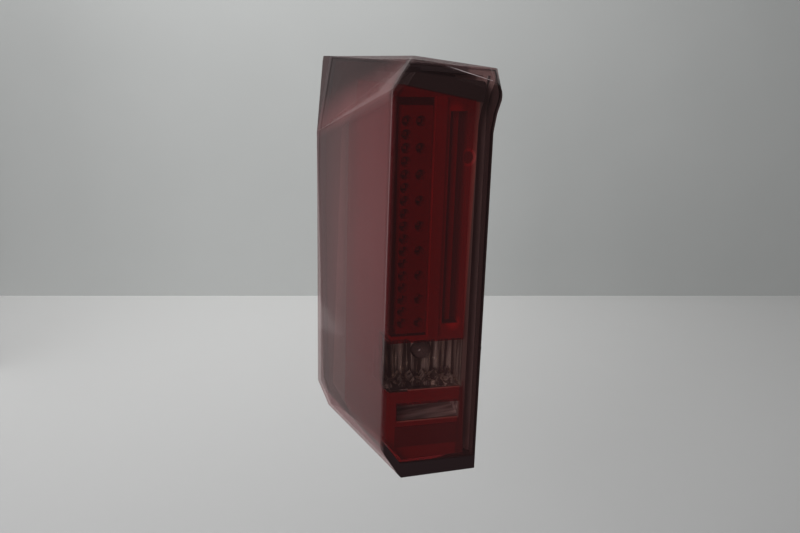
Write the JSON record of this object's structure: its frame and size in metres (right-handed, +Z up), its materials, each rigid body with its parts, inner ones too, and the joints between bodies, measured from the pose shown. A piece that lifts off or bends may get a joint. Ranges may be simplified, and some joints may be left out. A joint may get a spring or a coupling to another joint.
{
  "type": "tail light cluster",
  "caption": "Tall wraparound tail light for a van's left rear corner: faceted smoked lens, red inner lens, clear turn and backup chambers, black housing with mounting ears.",
  "frame": {"origin": "midway between the two mounting holes, on the ears' bearing face", "axes": "+X toward the middle of the vehicle, +Y forward into the vehicle along the mounting screws, +Z up; the lamp is seen from behind along +Y"},
  "size_m": [0.1487, 0.2295, 0.4538],
  "materials": {
    "smoke_lens": "clear smoked red-brown acrylic, polished",
    "red_lens": "clear red acrylic, polished",
    "red_plastic": "red acrylic with moulded optics",
    "black_plastic": "fine spark-eroded texture",
    "bezel_plastic": "satin dark red-brown",
    "grey_plastic": "satin",
    "white_plastic": "satin natural acetal",
    "mirror_coat": "vacuum-metallised, bright",
    "board_green": "solder mask",
    "led_yellow": "phosphor dome",
    "part_black": "moulded packages",
    "bulb_glass": "clear glass",
    "seal_rubber": "soft black rubber",
    "seal_orange": "silicone",
    "foam": "closed-cell foam",
    "steel": "zinc plated",
    "brass": "tinned contacts"
  },
  "bodies": {
    "root": {"outer_lens": "smoke_lens", "lens_seal": "seal_rubber", "housing": "black_plastic", "inner_bezel": "bezel_plastic", "red_inner_lens": "red_lens", "lamp_cups": "red_plastic", "led_board": "board_green", "leds": "led_yellow", "board_components": "part_black", "light_guide": "red_lens", "side_light_bar": "red_plastic", "turn_reflector": "mirror_coat", "turn_bulb": "bulb_glass", "turn_bulb_holder": "grey_plastic", "turn_holder_seal": "seal_orange", "turn_holder_contacts": "brass", "backup_reflector": "mirror_coat", "backup_bulb": "bulb_glass", "backup_bulb_holder": "grey_plastic", "backup_holder_seal": "seal_orange", "backup_holder_contacts": "brass", "reflex_reflector": "red_plastic", "body_gasket": "foam", "upper_locating_pin": "white_plastic", "lower_locating_pin": "white_plastic", "screw_sleeves": "steel", "vent_caps": "seal_rubber", "led_connector": "black_plastic", "connector_pins": "brass", "board_screws": "steel", "bezel_screws": "steel"}
  },
  "joints": []
}
